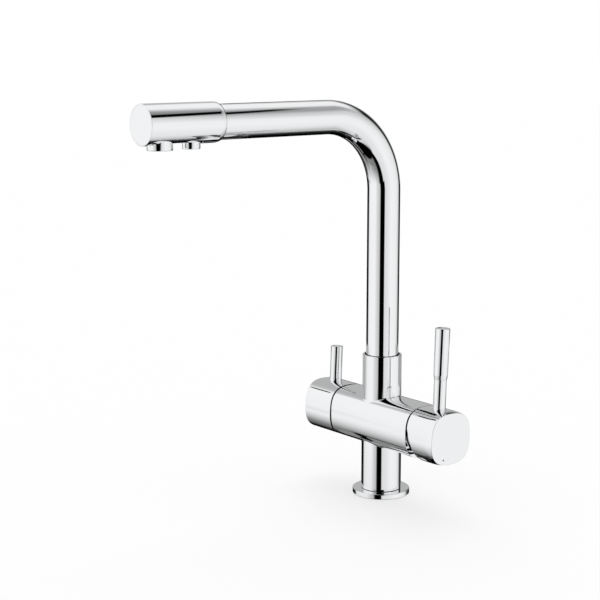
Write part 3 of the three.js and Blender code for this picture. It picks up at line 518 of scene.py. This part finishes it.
# ---- Spout head ----
# A turned brass sleeve that slides over the tube's end, with an edge rounded towards the tube. A
# flat is milled along its underside for the outlets, and a disc closes its front.
HEAD_R, HEAD_REAR, HEAD_SHOULDER, HEAD_FRONT, HEAD_EDGE = 15.9, 172.8, 178, 241.5, 0.25
HEAD_LOW_R, SOCKET_R, SOCKET_END = TUBE_R + 0.4, TUBE_R + 0.1, 187
HEAD_BORE_R, LIP_R, LIP_DEPTH = 12.8, 14.9, 2.5
FLAT_BELOW, FLAT_FROM, FLAT_TO = 14.2, 189.5, 238.5
MAIN_Y, MAIN_HOLE_R, FILTER_Y, FILTER_HOLE_R = 225, 10.15, 196.5, 7.2
forward = Matrix.Translation((0, 0, ARM_Z)) @ Matrix.Rotation(math.pi / 2, 4, "X")

quarter = [math.radians(90 * i / 16) for i in range(17)]
rounded_rear = [
    (HEAD_LOW_R + (HEAD_R - HEAD_LOW_R) * math.sin(turn),
     HEAD_SHOULDER - (HEAD_SHOULDER - HEAD_REAR) * math.cos(turn)) for turn in quarter
]
head = as_piece("head_sleeve", turned([
    (SOCKET_R, HEAD_REAR), *rounded_rear,
    *corner(HEAD_R - HEAD_EDGE, HEAD_FRONT - HEAD_EDGE, HEAD_EDGE, 0, 90, 5),
    (LIP_R, HEAD_FRONT), (LIP_R, HEAD_FRONT - LIP_DEPTH), (HEAD_BORE_R, HEAD_FRONT - LIP_DEPTH),
    (HEAD_BORE_R, SOCKET_END), (SOCKET_R, SOCKET_END),
], closed=True), forward)
CUTTER_WIDTH, CUTTER_DEPTH = 40, 10
flat_cutter = bmesh.new()
bmesh.ops.create_cube(flat_cutter, size=1)
bmesh.ops.scale(flat_cutter, vec=(CUTTER_WIDTH, CUTTER_DEPTH, FLAT_TO - FLAT_FROM),
                verts=flat_cutter.verts)
bmesh.ops.translate(flat_cutter, verts=flat_cutter.verts,
                    vec=(0, -FLAT_BELOW - CUTTER_DEPTH / 2, (FLAT_TO + FLAT_FROM) / 2))
boolean(head, "DIFFERENCE", flat_cutter, forward)
for y, r in ((MAIN_Y, MAIN_HOLE_R), (FILTER_Y, FILTER_HOLE_R)):
    boolean(head, "DIFFERENCE", rod(r, -20, -5, 96), Matrix.Translation((0, -y, ARM_Z)))
finish_piece(head, chrome, "chrome", "spout", "spout_head")

DISC_R, DISC_BACK, DISC_EDGE = 14.87, 239.3, 0.08
PLUG_R, PLUG_BACK = 12.5, 237   # the part of the disc inside the head's bore
end_disc = as_piece("front_disc", turned([
    (0, PLUG_BACK), (PLUG_R, PLUG_BACK), (PLUG_R, DISC_BACK), (DISC_R, DISC_BACK),
    *corner(DISC_R - DISC_EDGE, HEAD_FRONT - DISC_EDGE, DISC_EDGE, 0, 90, 3), (0, HEAD_FRONT),
]), forward)
finish_piece(end_disc, chrome, "chrome", "spout", "head_end_cap")


# ---- Outlets ----
# The main outlet is a turned and plated housing with an aerator clicked into it; the filtered
# water's nozzle behind it is smaller. Both stand out of the flat under the head.
OUTLET_LOW = 19.6               # below the arm's axis, as the other heights of a housing are
SEAT_DEPTH, MOUTH_EDGE = 1.4, 0.3


def outlet_housing(name, y, r, mouth_r, seat_r, top, node):
    """A ring that hangs from the head, with a narrower seat above its mouth."""
    outline = [
        (mouth_r, -OUTLET_LOW + MOUTH_EDGE), (mouth_r + MOUTH_EDGE, -OUTLET_LOW),
        *corner(r - 0.5, 0.5 - OUTLET_LOW, 0.5, -90, 0, 5), (r, -top), (seat_r, -top),
        (seat_r, -top - SEAT_DEPTH), (mouth_r, -top - SEAT_DEPTH),
    ]
    housing = as_piece(name, turned(outline, closed=True, steps=128),
                       Matrix.Translation((0, -y, ARM_Z)))
    finish_piece(housing, chrome, "chrome", "spout", node)


outlet_housing("main_outlet", MAIN_Y, r=10, mouth_r=8.3, seat_r=7, top=9.2,
               node="aerator_housing")
outlet_housing("filter_outlet", FILTER_Y, r=7.05, mouth_r=5.2, seat_r=3.6, top=11.3,
               node="filter_nozzle")


# ---- Outlet inserts ----
# White acetal cups clicked into the housings. The aerator's floor is a fine honeycomb, and the
# filtered water's nozzle has one round hole with six about it.

# Acetal from a spark-eroded mould: milky white, with a soft gloss over grains of a quarter
# millimetre. Light goes a little way into it.
acetal = surfaced("white_acetal", "#D6D8D8", "#E2E3E2", (0.32, 0.46), 4000, 0.003,
                  **{"Subsurface Weight": 0.15, "Subsurface Scale": 0.001})
CUP_RECESS, CUP_FLOOR = 0.6, 1.2        # above the housing's lower edge, and how thick


def insert_cup(name, y, r, wall, top, holes, node):
    """A cup with its pierced floor down; each hole is its place, its size and its sides."""
    low = CUP_RECESS - OUTLET_LOW
    floor_top = low + CUP_FLOOR
    outlet = Matrix.Translation((0, -y, ARM_Z))
    cup = as_piece(name, turned([
        (0, low), (r - 0.3, low), (r, low + 0.3), (r, top), (r - wall, top), (r - wall, floor_top),
        (0, floor_top),
    ], steps=96), outlet)
    pins, middle = bmesh.new(), low + CUP_FLOOR / 2
    for (across, along), size, sides in holes:
        bmesh.ops.create_cone(pins, cap_ends=True, segments=sides, radius1=size, radius2=size,
                              depth=3, matrix=Matrix.Translation((across, along, middle)))
    boolean(cup, "DIFFERENCE", pins, outlet)
    finish_piece(cup, acetal, "white_plastic", "spout", node)


COMB_STEP, COMB_HOLE_R, COMB_REACH = 1.65, 0.8, 5.8
comb_places = [(COMB_STEP * (i + j / 2), COMB_STEP * j * math.sqrt(3) / 2)
               for i in range(-5, 6) for j in range(-5, 6)]
comb = [(place, COMB_HOLE_R, 6) for place in comb_places if math.hypot(*place) < COMB_REACH]
insert_cup("aerator_comb", MAIN_Y, r=8, wall=1.4, top=-12.5, holes=comb, node="aerator_insert")
JET_R, JET_CIRCLE_R = 0.6, 2.3
jet_turns = [math.radians(a) for a in range(0, 360, 60)]
jet_places = [(0, 0)] + [(JET_CIRCLE_R * math.cos(turn), JET_CIRCLE_R * math.sin(turn))
                         for turn in jet_turns]
jets = [(place, JET_R, 24) for place in jet_places]
insert_cup("nozzle_jets", FILTER_Y, r=4.9, wall=1, top=-13.1, holes=jets,
           node="filter_nozzle_insert")


# ---- Set screws ----
# Stainless screws with a point, a rolled thread and a hexagon socket. One behind the boss keeps
# the spout in, and one under each cap clamps it to the stem of its valve.

# Drawn stainless bar: grey metal, half bright, with the fine streaks of the die.
stainless = surfaced("stainless_steel", "#A9ACAF", "#B9BBBD", (0.2, 0.34), 5000, 0.0008, Metallic=1)
PITCH, THREAD_DEPTH, POINT_LENGTH, SOCKET_DEPTH = 0.6, 0.22, 1.5, 1.8


def set_screw(name, r, tip_r, tip, end, place, body, node):
    """A screw from its narrow point at tip to its socket at end, with rings for its thread."""
    thread = []
    low, root_r = tip + POINT_LENGTH + 0.4, r - THREAD_DEPTH
    while low + PITCH < end - 0.35:
        thread += [(root_r, low), (r, low + PITCH * 0.45), (r, low + PITCH * 0.55)]
        low += PITCH
    screw = as_piece(name, turned([
        (0, tip), (tip_r - 0.2, tip), (tip_r, tip + 0.2), (tip_r, tip + POINT_LENGTH), *thread,
        (root_r, low), (r, end - 0.3), (r - 0.3, end), (0, end),
    ], steps=48), place)
    boolean(screw, "DIFFERENCE", rod(r * 0.55, end - SOCKET_DEPTH, end + 1, 6), place)
    finish_piece(screw, stainless, "steel", body, node)


set_screw("spout_stop", r=2.3, tip_r=1.7, tip=12.4, end=16.4, place=stop_axis,
          body="base", node="spout_grub_screw")
DOWN = Matrix.Rotation(math.pi, 4, "X")
set_screw("mixer_clamp", r=1.7, tip_r=1.4, tip=5, end=17, place=mixer_screw_hole @ DOWN,
          body="mixer_handle", node="mixer_grub_screw")
set_screw("filter_clamp", r=1.7, tip_r=1.4, tip=4.6, end=16, place=filter_screw_hole @ DOWN,
          body="filter_handle", node="filter_grub_screw")


# ---- Index dot ----
# A small round dot low on the mixer cap's face, a drilled hole filled flush with dark enamel.

# Enamel: dark grey and fairly glossy, with the slight ripple of a poured drop.
enamel = surfaced("dark_enamel", "#5E6062", "#6A6C6D", (0.2, 0.3), 3000, 0.002)
DOT_R = 0.75
dot = as_piece("index_dot", turned([
    (0, MIXER_FACE - DOT_DEPTH), (DOT_R, MIXER_FACE - DOT_DEPTH), (DOT_R, MIXER_FACE - 0.06),
    (DOT_R - 0.15, MIXER_FACE - 0.02), (0, MIXER_FACE),
], steps=48), dot_place)
finish_piece(dot, enamel, "dark_plastic", "mixer_handle", "mixer_index_dot")


# ---- Slip rings and seals ----
# The tube turns between acetal slip rings, and its foot is sealed by two rubber O-rings. Rubber
# also seals the flange to the worktop, the aerator, the cartridge and the filter valve.
RING_R, RING_BORE_R, RING_LOW, RING_TOP = 14.8, TUBE_R + 0.3, 118.5, 122.1
upper_ring = as_piece("upper_slip_ring", turned([
    (RING_BORE_R, RING_LOW), (RING_R, RING_LOW), (RING_R, RING_TOP - 0.1),
    (RING_R - 0.1, RING_TOP), (RING_BORE_R, RING_TOP),
], closed=True))
finish_piece(upper_ring, acetal, "white_plastic", "spout", "spout_slip_ring_upper")


def dress(material, *nodes):
    """A CAD piece whose shape is right stays, and gets the better material."""
    for node in nodes:
        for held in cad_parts[node].material_slots:
            held.material = material


dress(acetal, "spout_slip_ring_lower")
# Sealing rubber: nearly black and dull, with the grain of its mould.
rubber = surfaced("sealing_rubber", "#141414", "#1D1D1D", (0.55, 0.75), 3500, 0.006)
dress(rubber, "deck_seal", "spout_o_ring_lower", "spout_o_ring_upper", "aerator_seal",
      "cartridge_seal_cold", "cartridge_seal_hot", "cartridge_seal_mixed", "filter_headpart_seal")


# ---- Mixer cartridge ----
# A white housing on a dark base holds two ground ceramic discs, which a pinned rotor and a brass
# stem slide on each other. A brass nut holds the cartridge down in the barrel.
dress(acetal, "cartridge_housing")
# Polyamide with glass fibre: dark and dull, with short fibres that show near its skin.
polyamide = surfaced("glass_filled_polyamide", "#26272A", "#33343A", (0.45, 0.62), 5500, 0.004)
dress(polyamide, "cartridge_base", "cartridge_rotor", "cartridge_disc_carrier")
# Alumina ground and lapped flat: cream white, dense, with an even satin gloss.
alumina = surfaced("lapped_alumina", "#EFE9DE", "#F3EFE6", (0.16, 0.24), 6000, 0.0004)
dress(alumina, "cartridge_fixed_disc", "cartridge_moving_disc")
# Turned brass, left bare where no one sees it: warm yellow with the cutter's fine marks.
brass = surfaced("turned_brass", "#CFA75A", "#D9B56C", (0.18, 0.3), 4500, 0.001, Metallic=1)
dress(brass, "cartridge_nut", "cartridge_stem", "spout_foot", "outlet_block")
dress(stainless, "cartridge_pivot_pin")


# ---- Filter valve ----
# A quarter turn head of brass screwed into the barrel's left end: its spindle turns one ceramic
# disc on another, and a dark ring keeps the cap in line.
dress(brass, "filter_headpart", "filter_spindle")
dress(alumina, "filter_fixed_disc", "filter_moving_disc")
dress(polyamide, "filter_guide_ring")


# ---- Filtered water tube ----
# A thin polyethylene tube inside the spout, pushed on the foot and the outlet block, keeps the
# filtered water apart. Polyethylene: milky and waxy, and it lets some light through.
polyethylene = surfaced("natural_polyethylene", "#CBD5DB", "#D5DDE2", (0.3, 0.42), 3000, 0.003,
                        **{"Subsurface Weight": 0.35, "Subsurface Scale": 0.002})
dress(polyethylene, "filtered_water_tube")


# ---- Studio ----
# The tap stands on a white table before a white backdrop, in a tent of white cloth, as polished
# metal is photographed. Only the metal's reflections show the tent, with its dark openings.


def looked_at(tree):
    """1 where the eye looks, straight, in a mirror or through glass, and 0 for what only lights."""
    rays = add_node(tree, "ShaderNodeLightPath")
    total = rays.outputs["Is Camera Ray"]
    for kind in ("Is Glossy Ray", "Is Transmission Ray"):
        both = add_node(tree, "ShaderNodeMath", {"operation": "ADD", "use_clamp": True})
        tree.links.new(total, both.inputs[0])
        tree.links.new(rays.outputs[kind], both.inputs[1])
        total = both.outputs[0]
    return total


# The eye sees the table as half lit from within, which leaves the tap a light shadow.
TABLE_GLOW = 0.6
table, tree, _ = start_material("white_table")
glow_share = add_node(tree, "ShaderNodeMath", {"operation": "MULTIPLY"})
tree.links.new(looked_at(tree), glow_share.inputs[0])
glow_share.inputs[1].default_value = TABLE_GLOW
lit = add_node(tree, "ShaderNodeBsdfDiffuse", {"Color": linear("#FAFAFA")})
glow = add_node(tree, "ShaderNodeEmission", {"Color": (1, 1, 1, 1), "Strength": 1})
table_mix = add_node(tree, "ShaderNodeMixShader", {}, {"Fac": glow_share.outputs[0]})
tree.links.new(lit.outputs[0], table_mix.inputs[1])
tree.links.new(glow.outputs[0], table_mix.inputs[2])
end_material(tree, table_mix)

FLOOR_Z = -0.2                  # just under the tap, whose lowest faces are at 0
floor_shape = bmesh.new()
bmesh.ops.create_grid(floor_shape, x_segments=1, y_segments=1, size=6000)
floor = as_piece("floor", floor_shape, Matrix.Translation((0, 0, FLOOR_Z)))
floor.data.materials.append(table)
floor.visible_glossy = False

# The tent's cloth. Its brightness goes round the tap from the tent's front, in degrees that count
# to the right, and up it by the sine of the height above the horizon. The front, with the opening
# through which the picture is taken, is at this angle from the tap's right.
TENT_FRONT = math.radians(-41.3410)
cloth, tree, place = start_material("tent_cloth")
from_front = add_node(tree, "ShaderNodeMapping", {"Rotation": (0, 0, -TENT_FRONT)},
                      {"Vector": place})
way = add_node(tree, "ShaderNodeVectorMath", {"operation": "NORMALIZE"},
               {"Vector": from_front.outputs["Vector"]}).outputs["Vector"]
round_tap = add_node(tree, "ShaderNodeTexGradient", {"gradient_type": "RADIAL"},
                     {"Vector": way}).outputs["Fac"]
height = add_node(tree, "ShaderNodeSeparateXYZ", {}, {"Vector": way}).outputs["Z"]


def strips(stops):
    """Cloths side by side round the tap, from stops of (degrees from the front, brightness)."""
    ramp = add_node(tree, "ShaderNodeValToRGB", {}, {"Fac": round_tap})
    marks = ramp.color_ramp.elements
    while len(marks) < len(stops):
        marks.new(0.5)
    for mark, (degrees, level) in zip(marks, stops):
        mark.position = 0.5 + degrees / 360
        mark.color = (level, level, level, 1)
    return ramp.outputs["Color"]


def above(below, band, at, starts, full):
    """One band of cloth over what is below it, blended from where it starts to where it is full."""
    share = add_node(tree, "ShaderNodeMapRange", {"From Min": starts, "From Max": full},
                     {"Value": at})
    blend = add_node(tree, "ShaderNodeMix", {"data_type": "RGBA"})
    colour_a, colour_b, colour_out = blend.inputs[6], blend.inputs[7], blend.outputs[2]
    tree.links.new(share.outputs["Result"], blend.inputs["Factor"])
    tree.links.new(below, colour_a)
    tree.links.new(band, colour_b)
    return colour_out


# The black opening at the front, with the bright cloths on its left and right, as the foot band,
# the middle bands, the crest and the higher bands have it.
front_foot = [
    (-60, 0.97), (-45, 0.75), (-29.5, 0.55), (-25.5, 0), (1, 0), (3, 0.76), (30, 0.84), (55, 0.97),
]
front = [
    (-60, 0.97), (-45, 0.75), (-25, 0.55), (-21, 0), (7.5, 0), (9.5, 0.76), (30, 0.84), (55, 0.97),
]
front_wide = [
    (-60, 0.97), (-45, 0.75), (-29, 0.55), (-25, 0), (15, 0), (18, 0.76), (35, 0.84), (58, 0.97),
]
front_high = [
    (-60, 0.97), (-55, 0.78), (-47, 0.55), (-42, 0), (16, 0), (20, 0.76), (35, 0.84), (58, 0.97),
]
# Far left in the higher bands: grey cloth from behind, then a bright one.
left_high = [(-138, 0.48), (-124, 0.58), (-121, 0.65), (-116, 0.97)]
# Far right in the two bands far below: cloths that darken towards the back.
right_low = [(104, 0.74), (112, 0.62), (123, 0.52), (137, 0.45), (144, 0.14), (150, 0.02), (172, 0)]

# The bands, from straight below the tap to straight above it.
pit = strips([
    (-180, 0), (6, 0), (16, 0.4), (30, 0.72), (82, 0.8), (110, 0.68), (128, 0.55), (142, 0.05),
])
depths = strips([
    (-180, 0), (-123, 0.02), (-109, 0.08), (-99, 0.17), (-85, 0.27), (-24, 0.2), (-21, 0),
    (4.5, 0), (6.5, 0.8), (82, 0.88), (96, 0.82), *right_low,
])
under = strips([
    (-180, 0), (-155, 0), (-143, 0.07), (-133, 0.16), (-124, 0.21), (-110, 0.24), (-97, 0.28),
    (-88, 0.5), (-78, 0.5), (-66, 0.4), (-24, 0.2), (-21, 0), (4.5, 0), (6.5, 0.8), (90, 0.88),
    *right_low,
])
foot = strips([
    (-180, 0), (-127, 0), (-119, 0.8), (-108, 0.93), *front_foot, (95, 0.93), (110, 0.82),
    (119, 0.66), (127, 0.1), (133, 0),
])
low = strips([
    (-180, 0.3), (-150, 0.15), (-142, 0.2), (-127, 0.45), (-115, 0.56), (-105, 0.76),
    (-96, 0.93), *front, (95, 0.93), (105, 0.86), (116, 0.82), (128, 0.68), (144, 0.33),
    (158, 0.1), (174, 0.35),
])
high = strips([
    (-180, 0), (-129, 0), (-124, 0.3), (-117, 0.9), (-110, 0.95), *front, (95, 0.93),
    (113, 0.83), (125, 0.5), (134, 0.1), (139, 0),
])
crest = strips([
    (-180, 0.48), *left_high, *front_wide, (95, 0.9), (122, 0.8), (127, 0.4), (134, 0),
    (148, 0), (156, 0.42), (175, 0.48),
])
upper = strips([
    (-180, 0.48), *left_high, *front_high, (80, 0.65), (96, 0.7), (108, 0.62), (115, 0.58),
    (122, 0.5), (128, 0.25), (134, 0), (171, 0), (175, 0.48),
])
crown = strips([
    (-180, 0.95), (-174, 0.7), (-168, 0.48), *left_high, *front_high, (80, 0.4), (92, 0.36),
    (108, 0.4), (117, 0.45), (126, 0.8), (133, 0.9), (148, 0.95),
])
seam = strips([
    (-180, 0.95), (-174, 0.7), (-168, 0.5), (-121, 0.6), (-116, 0.95), *front_high, (64, 0.1),
    (70, 0), (106, 0), (111, 0.35), (117, 0.45), (126, 0.85), (148, 0.96),
])
roof = strips([
    (-180, 0.95), (-170, 0.6), (-121, 0.6), (-116, 0.95), *front_high, (64, 0.2), (86, 0.24),
    (96, 0.3), (104, 0.36), (111, 0.5), (121, 0.62), (128, 0.78), (136, 0.88), (150, 0.95),
])

# Where each band takes over from the one below: the heights at which it starts and is full.
walls = pit
for band, starts, full in (
    (depths, -0.83, -0.79), (under, -0.7, -0.64), (foot, -0.6, -0.24), (low, -0.23, -0.2),
    (high, -0.172, -0.16), (crest, 0, 0.04), (upper, 0.2, 0.5), (crown, 0.54, 0.7),
):
    walls = above(walls, band, height, starts, full)


def slanted(slope):
    """A height that also rises towards the tent's front."""
    dot = add_node(tree, "ShaderNodeVectorMath", {"operation": "DOT_PRODUCT"}, {"Vector": way})
    dot.inputs[1].default_value = (slope, 0, 1)
    return dot.outputs["Value"]


walls = above(walls, seam, slanted(0.48), 0.715, 0.74)
tent_light = above(walls, roof, slanted(0.18), 0.785, 0.805)
end_material(tree, add_node(tree, "ShaderNodeEmission", {"Strength": 1}, {"Color": tent_light}))
cloth.cycles.emission_sampling = "NONE"

tent_shape = bmesh.new()
bmesh.ops.create_uvsphere(tent_shape, u_segments=64, v_segments=32, radius=3000)
tent = as_piece("tent", tent_shape)
tent.data.materials.append(cloth)


def only_for_mirrors(sheet):
    """Leaves a sheet to be seen only as a reflection."""
    sheet.visible_camera = sheet.visible_diffuse = False
    sheet.visible_shadow = sheet.visible_transmission = False


only_for_mirrors(tent)

# Cards that only the polished metal mirrors: a grey one and two black ones far below, which show
# under the barrel, the second black one a painted shadow of the column on the table; black strips
# high on the left and behind the arm, and grey cards on the left and behind.


def card(name, colour, corners):
    """A flat card of one brightness, by its corners in mm."""
    material, tree, _ = start_material(name)
    end_material(tree, add_node(tree, "ShaderNodeEmission",
                                {"Color": linear(colour), "Strength": 1}))
    material.cycles.emission_sampling = "NONE"
    shape = bmesh.new()
    shape.faces.new([shape.verts.new(place) for place in corners])
    sheet = as_piece(name, shape)
    sheet.data.materials.append(material)
    only_for_mirrors(sheet)


BELOW = -300                    # height of the cards under the tap
card("grey_card", "#8A8A8A",
     [(-428, -184, BELOW), (-326, -184, BELOW), (-326, 90, BELOW), (-428, 90, BELOW)])
card("black_strip", "#080808",
     [(-451, -214, BELOW), (-353, -214, BELOW), (-353, -184, BELOW), (-451, -184, BELOW)])
# Painted shadow: a black card below the table, which the barrel mirrors as the column's shadow.
shadow_patch_corners = [(-437, -184), (-412, -184), (-360, -60), (-362, 20), (-385, 20), (-383, -60)]
card("column_shadow_patch", "#080808", [(x, y, BELOW + 1) for x, y in shadow_patch_corners])


def hung_strip(name, left, right, azimuth, height, width, away=900):
    """A black strip along X, at these angles from the barrel's upper side, which mirrors it."""
    flat, rise = math.radians(azimuth), math.radians(height)
    out = Vector((math.cos(flat) * math.cos(rise), math.sin(flat) * math.cos(rise), math.sin(rise)))
    side = Vector((1, 0, 0)).cross(out).normalized() * width / 2
    upper_side = Vector((0, -10, 86))
    middle = upper_side + out * away
    ends = [middle + Vector((left, 0, 0)), middle + Vector((right, 0, 0))]
    card(name, "#040404", [ends[0] - side, ends[1] - side, ends[1] + side, ends[0] + side])


hung_strip("left_strip", left=-82, right=-34, azimuth=-153.3, height=32, width=80)
hung_strip("right_strip", left=46, right=400, azimuth=-164, height=43.2, width=90)
# A black one beyond the arm, which draws the thin dark line along its top.
card("arm_strip", "#080808", [(-225, -5, 310), (-225, 178, 310), (-225, 178, 440), (-225, -5, 440)])
card("left_card", "#B4B4B4", [(-300, -120, 26), (-300, 140, 26), (-300, 140, 70), (-300, -120, 70)])
card("rear_card", "#A8A8A8", [(-240, 300, 26), (120, 300, 26), (120, 300, 70), (-240, 300, 70)])

# The backdrop is plain white to the eye and gives an even light, to which a broad soft lamp adds.
world = bpy.data.worlds.new("white_backdrop")
world.use_nodes = True
world.node_tree.nodes.clear()
tree = world.node_tree
LIGHT_STRENGTH = 0.75
even_light = add_node(tree, "ShaderNodeBackground",
                      {"Color": (1, 1, 1, 1), "Strength": LIGHT_STRENGTH})
white = add_node(tree, "ShaderNodeBackground", {"Color": (1, 1, 1, 1), "Strength": 1})
sky = add_node(tree, "ShaderNodeMixShader", {}, {"Fac": looked_at(tree)})
tree.links.new(even_light.outputs[0], sky.inputs[1])
tree.links.new(white.outputs[0], sky.inputs[2])
add_node(tree, "ShaderNodeOutputWorld", links={"Surface": sky.outputs[0]})
bpy.context.scene.world = world

soft_sun = bpy.data.lights.new("soft_lamp", "SUN")
soft_sun.energy, soft_sun.angle = 1.1, math.radians(60)
lamp = bpy.data.objects.new("soft_lamp", soft_sun)
lamp.rotation_euler = (math.radians(-20), math.radians(-30), 0)
lamp.visible_glossy = False
bpy.context.scene.collection.objects.link(lamp)
bpy.context.scene.view_settings.view_transform = "Standard"
